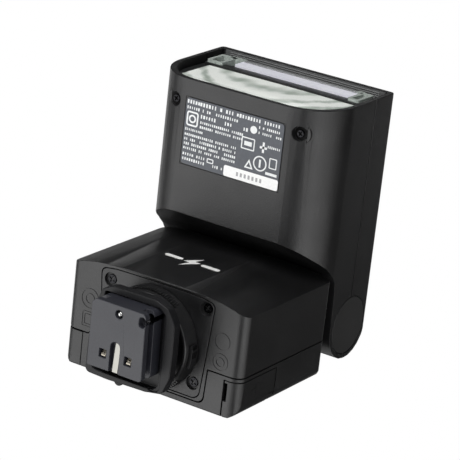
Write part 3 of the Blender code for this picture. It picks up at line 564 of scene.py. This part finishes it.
# Painted shade: dark discs at the bottoms of the two screw holes, where no light reaches.
raised("head_screw_pockets", [disc(x, -56.3, 2.05) for x in (-21.6, 21.6)], "z", 51.62, 51.74, hole_shadow,
       "head")
screw_heads("head_screws", ["head_screw_%d" % n for n in (1, 2)], 1.3, "head")


# ---- Lamp window ---------------------------------------------------------------------------------
# The front of the head: a ribbed acrylic window over the reflector, drawn as a pale opaque sheet with a
# painted reflection of the reflector, a milky light bar above it between two clips, and a grooved strip
# along the top, drawn grey as a painted sheen. All sit just inside the rim of the head.
WINDOW_FACE = -62.0
WINDOW_BACK = -61.4
WINDOW_LEFT = 25.0
WINDOW_RIGHT = 26.6
PRISM_PITCH = 0.55
PRISM_RELIEF = 0.09
WINDOW_BOW = 0.25
SURROUND_FACE = -61.3


def acrylic(name, clear, shade, roughness):
    """Moulded acrylic over a bright reflector, drawn opaque: a pale painted reflection of the
    reflector, with darker curved streaks painted where the prisms bend the light.
    """
    mat, tree, shader, place = blank_material(name)
    moved = add(tree, "ShaderNodeMapping", {"Location": (0.004, 0.0, -0.072), "Scale": (1.0, 0.35, 0.8)},
                {"Vector": place})
    waves = add(tree, "ShaderNodeTexWave",
                {"wave_type": "RINGS", "rings_direction": "SPHERICAL", "Scale": 60.0, "Distortion": 12.0,
                 "Detail": 4.0, "Detail Scale": 0.5}, {"Vector": moved.outputs[0]})
    blot = add(tree, "ShaderNodeTexNoise", {"Scale": 70.0, "Detail": 4.0, "Distortion": 2.4},
               {"Vector": moved.outputs[0]})
    prisms = add(tree, "ShaderNodeTexWave", {"bands_direction": "X", "Scale": 520.0, "Distortion": 1.5},
                 {"Vector": place})
    both = add(tree, "ShaderNodeMath", {"operation": "MULTIPLY"},
               {0: waves.outputs["Fac"], 1: blot.outputs[0]})
    fine = add(tree, "ShaderNodeMath", {"operation": "MULTIPLY", 1: 0.14}, {0: prisms.outputs["Fac"]})
    total = add(tree, "ShaderNodeMath", {"operation": "ADD"}, {0: both.outputs[0], 1: fine.outputs[0]})
    spread = add(tree, "ShaderNodeMapRange", {"From Min": 0.26, "From Max": 0.66},
                 {"Value": total.outputs[0]})
    blended(tree, shader, linear(clear), linear(shade), spread.outputs[0])
    shader.inputs["Roughness"].default_value = roughness
    shader.inputs["IOR"].default_value = 1.49
    shader.inputs["Coat Weight"].default_value = 0.4
    return mat


# Clear acrylic over a mirror, drawn as an opaque sheet: its pale grey-green and darker curved streaks
# are a painted reflection of the mirror behind it.
window_painted_reflection = acrylic("ribbed_acrylic_painted_reflection", "#f4f7f2", "#a3aea4", 0.3)


def head_outline(side_inset, low_inset, high):
    """The head's section in X and Z, inset, up to a height, with its rounded lower corners."""
    half, bottom = 30.7 - side_inset, 49.65 + low_inset
    rx, rz = 13.7 - side_inset * 0.4, 15.45 - low_inset * 0.4
    arc = [math.radians(-90 + 90 * k / 20) for k in range(21)]
    right = [(half - rx + rx * math.cos(a), bottom + rz + rz * math.sin(a)) for a in arc] + [(half, high)]
    kept = [(x, z) for x, z in right if z <= high]
    return kept + [(-x, z) for x, z in reversed(kept)]


def half_width(outline, z):
    """How far an outline reaches to the right at a height."""
    right = sorted([(level, x) for x, level in outline if x > 0])
    for (z0, x0), (z1, x1) in zip(right, right[1:]):
        if z0 <= z <= z1:
            return x0 + (x1 - x0) * (z - z0) / max(1e-6, z1 - z0)
    return right[-1][1] if z >= right[-1][0] else right[0][1]


def ribbed_window():
    """One sheet with straight sides and round lower corners, its face moulded into fine upright prisms."""
    bm = bmesh.new()
    outline = head_outline(2.6, 2.7, 72.6)
    low, high = min(z for _, z in outline), max(z for _, z in outline)
    rows = 60
    cols = int(54 / PRISM_PITCH) * 2
    grid = []
    for r in range(rows + 1):
        z = low + (high - low) * (r / rows) ** 1.3
        reach = half_width(outline, z)
        left, right = -min(reach, WINDOW_LEFT), min(reach, WINDOW_RIGHT)
        line = []
        for c in range(cols + 1):
            x = left + (right - left) * c / cols
            bulge = WINDOW_BOW * (1 - (x / 30) ** 2)
            tooth = PRISM_RELIEF if c % 2 else 0.0
            edge = 0.0 if r in (0, rows) or c in (0, cols) else 1.0
            line.append(bm.verts.new((x * MM, (WINDOW_FACE - (bulge + tooth) * edge + 0.1) * MM, z * MM)))
        grid.append(line)
    for r in range(rows):
        for c in range(cols):
            bm.faces.new((grid[r][c], grid[r][c + 1], grid[r + 1][c + 1], grid[r + 1][c]))
    rim = [grid[0][c] for c in range(cols)] + [grid[r][cols] for r in range(rows)] + \
          [grid[rows][c] for c in range(cols, 0, -1)] + [grid[r][0] for r in range(rows, 0, -1)]
    back = [bm.verts.new((v.co.x, WINDOW_BACK * MM, v.co.z)) for v in rim]
    for i in range(len(rim)):
        j = (i + 1) % len(rim)
        bm.faces.new((rim[i], rim[j], back[j], back[i]))
    bm.faces.new(back)
    return finish_piece(mesh_piece("lamp_window", bm), window_painted_reflection, "head", 12)


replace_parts(ribbed_window(), "lens_window")

# Dark surround that carries the window, the bar and the grooves: a plate set back from the rim, with a
# ledge under the bar.
ledge_trim = moulded("dark_window_ledge", "#1d1e1e", "#262727", 0.4, 0.3, 0.012)
raised("window_surround", [head_outline(2.0, 2.0, 86.3)], "y", SURROUND_FACE - 0.05, -60.6, ledge_trim,
       "head")
raised("bar_ledge", [tile(-27.2, 73.1, 27.2, 75.9, 0.3)], "y", -62.5, SURROUND_FACE, ledge_trim, "head")


def long_ribs(name, count, pitch, length, radius, start, step):
    """Fine grey ribs that run from side to side; in the trim the grey is a painted sheen. Lengths in
    millimetres.
    """
    grown(name, thumb_ribs,
          {"Count": count, "Pitch": pitch * MM, "Length": length * MM, "Radius": radius * MM,
           "Start": tuple(c * MM for c in start), "Step": step, "Turn": (0.0, math.radians(90), 0.0),
           "Material": rib_grey_and_painted_sheen}, "head")


# Ribs above the bar on the surround, and a liner with ribs under the rim: black plastic drawn grey, a
# painted sheen for the light that glances off its ridges.
rib_grey_and_painted_sheen = moulded("grey_ribs_and_painted_sheen", "#666767", "#707171", 0.4, 0.3, 0.012)
liner_painted_sheen = moulded("visor_liner_painted_sheen", "#565757", "#606161", 0.45, 0.3, 0.012)
long_ribs("window_grooves", 4, 0.95, 45.5, 0.34, (0.0, -61.4, 83.1), (0.0, 0.0, 1.0))
raised("visor_liner", [tile(-28.3, 86.27, 28.3, 86.57)], "y", -63.9, SURROUND_FACE, liner_painted_sheen, "head")
long_ribs("visor_grooves", 4, 0.62, 53.0, 0.2, (0.0, -63.3, 86.28), (0.0, 1.0, 0.0))

# Milky light bar, nearly white with a faint violet cast, with four fine ribs along its upper edge.
BAR_FACE = -63.1
milky_acrylic = moulded("milky_diffusing_acrylic", "#eeeffa", "#f9f9ff", 0.34, 0.5, 0.01, coat=0.3)
raised("light_bar", [tile(-18.4, 76.1, 23.2, 82.2, 0.5)], "y", BAR_FACE, SURROUND_FACE, milky_acrylic, "head")
long_ribs("bar_lines", 4, 0.62, 41.0, 0.12, (2.4, BAR_FACE, 80.9), (0.0, 0.0, 1.0))
# Two pale clear clips that hold the ends of the bar, each a small open frame with a tongue over the bar.
clip_acrylic = moulded("pale_clear_acrylic_clip", "#98a19b", "#c2cac4", 0.2, 0.5, 0.02, coat=0.5)
for side, name in ((-1, "left"), (1, "right")):
    x0, x1 = sorted((side * 26.8, side * 22.0 + 0.8))
    x2, x3 = sorted((side * 23.4, side * 19.8 + 1.6))
    raised("bar_clip_" + name, [outlined(x0, 73.6, x1, 82.6, 0.6, 1.1), tile(x2, 80.9, x3, 83.4, 0.3)],
           "y", -63.3, SURROUND_FACE, clip_acrylic, "head")


# ---- Rating label --------------------------------------------------------------------------------
# A printed polyester film in slate grey stuck under the head. Its print is only rows of plain ticks and
# plain shapes in white, and a white strip with a few grey ticks where a number would be.
label_film = moulded("slate_polyester_film", "#40444b", "#484c54", 0.45, 0.6, 0.004)
softened("rating_label", "label_film", 0.0, label_film, "head")


def print_tree():
    """Rows of small upright ticks with random gaps and widths, like fine print."""
    tree, given = growing_tree("printed_rows", {
        "Geometry": "Geometry", "Length": "Float", "Height": "Float", "Ticks": "Int", "Rows": "Int",
        "Tick width": "Float", "Tick height": "Float", "Place": "Vector", "Seed": "Int",
        "Material": "Material"})
    grid = add(tree, "GeometryNodeMeshGrid", None,
               {"Size X": given["Length"], "Size Y": given["Height"],
                "Vertices X": given["Ticks"], "Vertices Y": given["Rows"]})
    moved = add(tree, "GeometryNodeTransform", None,
                {"Geometry": grid.outputs[0], "Translation": given["Place"]})
    keep = add(tree, "FunctionNodeRandomValue", {"data_type": "BOOLEAN", "Probability": 0.84},
               {"Seed": given["Seed"]})
    wide = add(tree, "FunctionNodeRandomValue",
               {"data_type": "FLOAT_VECTOR", 0: (0.55, 0.75, 1.0), 1: (1.15, 1.0, 1.0)},
               {"Seed": given["Seed"]})
    size = add(tree, "ShaderNodeCombineXYZ", {2: 0.05 * MM},
               {0: given["Tick width"], 1: given["Tick height"]})
    tick = add(tree, "GeometryNodeMeshCube", None, {"Size": size.outputs[0]})
    many = add(tree, "GeometryNodeInstanceOnPoints", None,
               {"Points": moved.outputs[0], "Selection": keep.outputs[3], "Instance": tick.outputs[0],
                "Scale": wide.outputs[0]})
    return dressed(tree, many, given)


printed_rows = print_tree()
label_ink = printed_ink("white_label_ink", "#eceeee")
LABEL_FACE = 49.64
INK_HALF = 0.03
# Each block of print: left and right edge, first and last row, rows, tick height.
PRINT_BLOCKS = [(-16.3, -12.6, -57.0, -57.0, 1, 1.15), (-11.8, -0.8, -57.0, -57.0, 1, 1.25),
                (1.0, 16.2, -57.0, -57.0, 1, 1.15), (-16.3, -8.6, -55.2, -55.2, 1, 0.95),
                (-7.0, 1.0, -55.2, -55.2, 1, 0.95), (-11.3, 4.6, -53.4, -53.4, 1, 1.15),
                (-11.3, 3.2, -51.6, -50.2, 2, 0.85), (8.8, 16.2, -55.2, -53.6, 2, 0.85),
                (-16.3, -10.6, -48.6, -48.6, 1, 0.8), (12.4, 16.2, -50.2, -50.2, 1, 0.8),
                (-16.3, 1.4, -47.0, -42.8, 4, 0.85), (-16.3, -9.0, -41.0, -39.5, 2, 0.95),
                (-5.6, -2.6, -39.6, -39.6, 1, 0.9)]
for index, (left, right, first, last, rows, tall) in enumerate(PRINT_BLOCKS):
    ticks = int((right - left) / (tall * 0.78)) + 1
    grown("label_print_%02d" % (index + 1), printed_rows,
          {"Length": (right - left) * MM, "Height": abs(last - first) * MM, "Ticks": ticks, "Rows": rows,
           "Tick width": tall * 0.5 * MM, "Tick height": tall * MM,
           "Place": ((left + right) / 2 * MM, (first + last) / 2 * MM, LABEL_FACE * MM), "Seed": 11 + index,
           "Material": label_ink}, "head")
triangle = ([(5.0, -42.2), (8.0, -42.2), (6.5, -45.0)], [(5.7, -42.6), (7.3, -42.6), (6.5, -44.1)])
frames = [outlined(-16.4, -54.2, -12.3, -49.7, 0.8, 0.5), outlined(3.2, -51.3, 7.8, -47.6, 0.3, 0.35),
          outlined(13.3, -47.2, 15.9, -44.0, 0.3, 0.3), outlined(-7.9, -41.6, -5.6, -40.2, 0.3, 0.3)]
rounds = [hoop(-14.35, -51.95, 1.0, 0.5), disc(6.9, -54.0, 1.15), hoop(10.2, -44.6, 2.1, 0.4)]
blocks = [tile(4.2, -50.1, 6.8, -48.8), tile(9.6, -49.9, 12.0, -49.2), tile(10.45, -51.2, 11.15, -48.0),
          tile(9.9, -45.8, 10.5, -43.4), tile(12.4, -42.7, 16.3, -41.9)]
raised("label_shapes", frames + rounds + blocks + [triangle], "z", LABEL_FACE - INK_HALF,
       LABEL_FACE + INK_HALF, label_ink, "head")
raised("label_blank_strip", [tile(-1.8, -41.2, 17.0, -37.9, 0.6)], "z", LABEL_FACE - INK_HALF,
       LABEL_FACE + INK_HALF, printed_ink("white_paper_strip", "#fbfbfa"), "head")
raised("label_strip_ticks", [tile(2.6 + 1.35 * k, -40.1, 3.3 + 1.35 * k, -38.9) for k in range(7)], "z",
       LABEL_FACE - 0.05, LABEL_FACE - 0.01, printed_ink("grey_stamping_ink", "#a9a9aa"), "head")


# ---- Rear keys and lamps -------------------------------------------------------------------------
# Three sprung keys on the back, moulded in satin plastic with plain white printed signs, and two lamps
# of clear amber acrylic beside them.
key_plastic = moulded("satin_key_polycarbonate", "#242426", "#2c2c2f", 0.36, 0.24, 0.01)
KEY_FACE = 21.3
test_bolt = [(12.0 + x * 0.62, 40.0 + (z - 38.4) * 0.62) for x, z in BOLT]
KEY_SIGNS = {"power": [hoop(-14.0, 34.0, 1.0, 0.26), tile(-14.13, 34.2, -13.87, 35.6)],
             "pairing": [disc(-14.9, 46.0, 0.45), disc(-13.1, 46.0, 0.45), tile(-14.8, 45.88, -13.2, 46.12)],
             "test": [test_bolt]}
for key in KEY_SIGNS:
    softened(key + "_button", key + "_key", 0.12, key_plastic, key + "_key")
for key, sign in KEY_SIGNS.items():
    raised(key + "_sign", sign, "y", KEY_FACE - 0.04, KEY_FACE + 0.01, white_ink, key + "_key")


def tinted(name, tone, roughness, transmission, ior):
    """Clear or tinted moulding or glass with faint flow lines inside."""
    mat, tree, shader, place = blank_material(name)
    flow = add(tree, "ShaderNodeTexNoise", {"Scale": 900.0, "Detail": 2.0}, {"Vector": place})
    blended(tree, shader, dimmed(tone, 0.9), linear(tone), flow.outputs[0])
    shader.inputs["Roughness"].default_value = roughness
    shader.inputs["Transmission Weight"].default_value = transmission
    shader.inputs["IOR"].default_value = ior
    return mat


amber_acrylic = tinted("amber_clear_acrylic", "#e88a1e", 0.18, 0.35, 1.49)
for node in ("link_lamp", "ready_lamp"):
    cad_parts[node].data.materials[0] = amber_acrylic


# ---- Lamp and electronics inside -----------------------------------------------------------------
# The tube in its silicone ends before a bright pressed reflector, the circuit boards, the two cells, the
# storage capacitor and the wound parts. They keep the CAD shapes, since the shells and the window cover
# them; only the cells show, when their door is open.
quartz_glass = tinted("quartz_tube_glass", "#eef2f2", 0.05, 0.8, 1.46)
bright_aluminium = metal("bright_rolled_aluminium", "#e6e8e8", 0.12, 0.3, (0.1, 1.0, 1.0))
silicone = moulded("white_silicone_rubber", "#d8d8d2", "#e2e2dc", 0.6, 0.4, 0.01)
board_resist = moulded("green_solder_resist", "#1f5a33", "#2a6a3d", 0.42, 0.5, 0.006)
cell_film = moulded("blue_shrink_film", "#22366e", "#2a407c", 0.3, 0.6, 0.004, coat=0.3)
capacitor_film = moulded("black_shrink_film", "#17171c", "#202026", 0.32, 0.6, 0.004, coat=0.3)
ferrite = moulded("fired_ferrite", "#2b2b2e", "#353538", 0.62, 0.3, 0.02)
INSIDE = {"flash_tube": quartz_glass, "reflector": bright_aluminium, "tube_holder_1": silicone,
          "tube_holder_2": silicone, "trigger_board": board_resist, "main_board": board_resist,
          "control_board": board_resist, "cell_1": cell_film, "cell_2": cell_film,
          "main_capacitor": capacitor_film, "charge_transformer": ferrite, "trigger_coil": ferrite}
for node, finish in INSIDE.items():
    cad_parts[node].data.materials[0] = finish


# ---- Floor, camera and light ---------------------------------------------------------------------
# A plain pale floor under the foot, seen only from above, and soft boxes round a camera that looks up at
# the underside from the front right.
def studio_floor():
    """A floor that only the camera sees, and only from above."""
    mesh = bpy.data.meshes.new("studio_floor")
    size, level = 3.0, -2.5 * MM
    mesh.from_pydata([(x, y, level) for x, y in tile(-size, -size, size, size)], [], [(0, 1, 2, 3)])
    mat = bpy.data.materials.new("pale_matt_floor")
    mat.use_nodes = True
    tree = mat.node_tree
    tree.nodes.clear()
    ways = add(tree, "ShaderNodeLightPath")
    side = add(tree, "ShaderNodeNewGeometry")
    above = add(tree, "ShaderNodeMath", {"operation": "SUBTRACT", 0: 1.0}, {1: side.outputs["Backfacing"]})
    seen = add(tree, "ShaderNodeMath", {"operation": "MULTIPLY"},
               {0: above.outputs[0], 1: ways.outputs["Is Camera Ray"]})
    matt = add(tree, "ShaderNodeBsdfDiffuse", {"Color": linear("#d9d9d7")})
    glow = add(tree, "ShaderNodeEmission", {"Color": linear("#e9e9e7"), "Strength": 0.6})
    paint = add(tree, "ShaderNodeAddShader", None, {0: matt.outputs[0], 1: glow.outputs[0]})
    clear = add(tree, "ShaderNodeBsdfTransparent")
    mix = add(tree, "ShaderNodeMixShader", None,
              {0: seen.outputs[0], 1: clear.outputs[0], 2: paint.outputs[0]})
    add(tree, "ShaderNodeOutputMaterial", None, {"Surface": mix.outputs[0]})
    mesh.materials.append(mat)
    placed("studio_floor", mesh)


studio_floor()

AIM_RIGHT = Vector((0.8295, -0.1056, 0.5485))
AIM_DOWN = Vector((0.2630, 0.9401, -0.2167))
AIM_AHEAD = Vector((-0.4928, 0.3240, 0.8076))
camera_data = bpy.data.cameras.new("studio_camera")
camera_data.lens = 192.27
camera_data.sensor_width = 36.0
camera_data.clip_start = 0.01
camera_data.clip_end = 20.0
camera = placed("studio_camera", camera_data)
aim = Matrix((AIM_RIGHT, -AIM_DOWN, -AIM_AHEAD)).transposed()
camera.matrix_world = Matrix.Translation(Vector((357.90, -255.67, -532.48)) * MM) @ aim.to_4x4()
bpy.context.scene.camera = camera


def soft_box(name, towards, distance, width, height, radiance, tint="#ffffff"):
    """A rectangular soft box that faces the object from the given direction."""
    data = bpy.data.lights.new(name, "AREA")
    data.shape = "RECTANGLE"
    data.size, data.size_y = width, height
    data.energy = radiance * math.pi * width * height
    data.color = linear(tint)[:3]
    obj = placed(name, data)
    way = Vector(towards).normalized()
    obj.location = Vector((0.0, -0.02, 0.045)) + way * distance
    obj.rotation_mode = "QUATERNION"
    obj.rotation_quaternion = way.to_track_quat("Z", "Y")


# Each soft box: name, direction, distance, width, height, strength, and a tint if it isn't white.
soft_box("under_key", (-0.50, 0.38, -0.78), 0.75, 0.85, 0.85, 2.15)
soft_box("right_low", (0.85, 0.32, -0.5), 0.85, 0.45, 0.5, 3.1)
soft_box("right_mid", (1.0, 0.34, 0.06), 0.85, 0.4, 0.4, 1.9)
soft_box("camera_fill", (0.45, -0.55, -0.75), 0.9, 0.5, 0.5, 2.6)
soft_box("front_low", (-0.1, -1.0, -0.5), 0.9, 0.6, 0.6, 6.2)
soft_box("left_fill", (-1.0, -0.3, 0.45), 0.9, 0.5, 0.5, 0.35)
soft_box("right_rim", (1.0, 0.35, 0.25), 0.8, 0.2, 0.6, 0.08, "#ffe6d6")
soft_box("overhead", (-0.2, 0.1, 1.0), 0.9, 0.7, 0.7, 1.3)
soft_box("rear", (-0.05, 1.0, 0.2), 0.9, 0.6, 0.6, 1.6)
soft_box("left_side", (-1.0, 0.45, 0.7), 0.9, 0.5, 0.7, 0.9)

world = bpy.data.worlds.new("white_studio")
bpy.context.scene.world = world
world.use_nodes = True
tree = world.node_tree
tree.nodes.clear()
ways = add(tree, "ShaderNodeLightPath")
ambient = add(tree, "ShaderNodeBackground", {"Color": linear("#ffffff"), "Strength": 0.05})
backdrop = add(tree, "ShaderNodeBackground", {"Color": linear("#ffffff"), "Strength": 1.0})
mix = add(tree, "ShaderNodeMixShader", None,
          {0: ways.outputs["Is Camera Ray"], 1: ambient.outputs[0], 2: backdrop.outputs[0]})
add(tree, "ShaderNodeOutputWorld", None, {"Surface": mix.outputs[0]})
bpy.context.scene.view_settings.view_transform = "Standard"
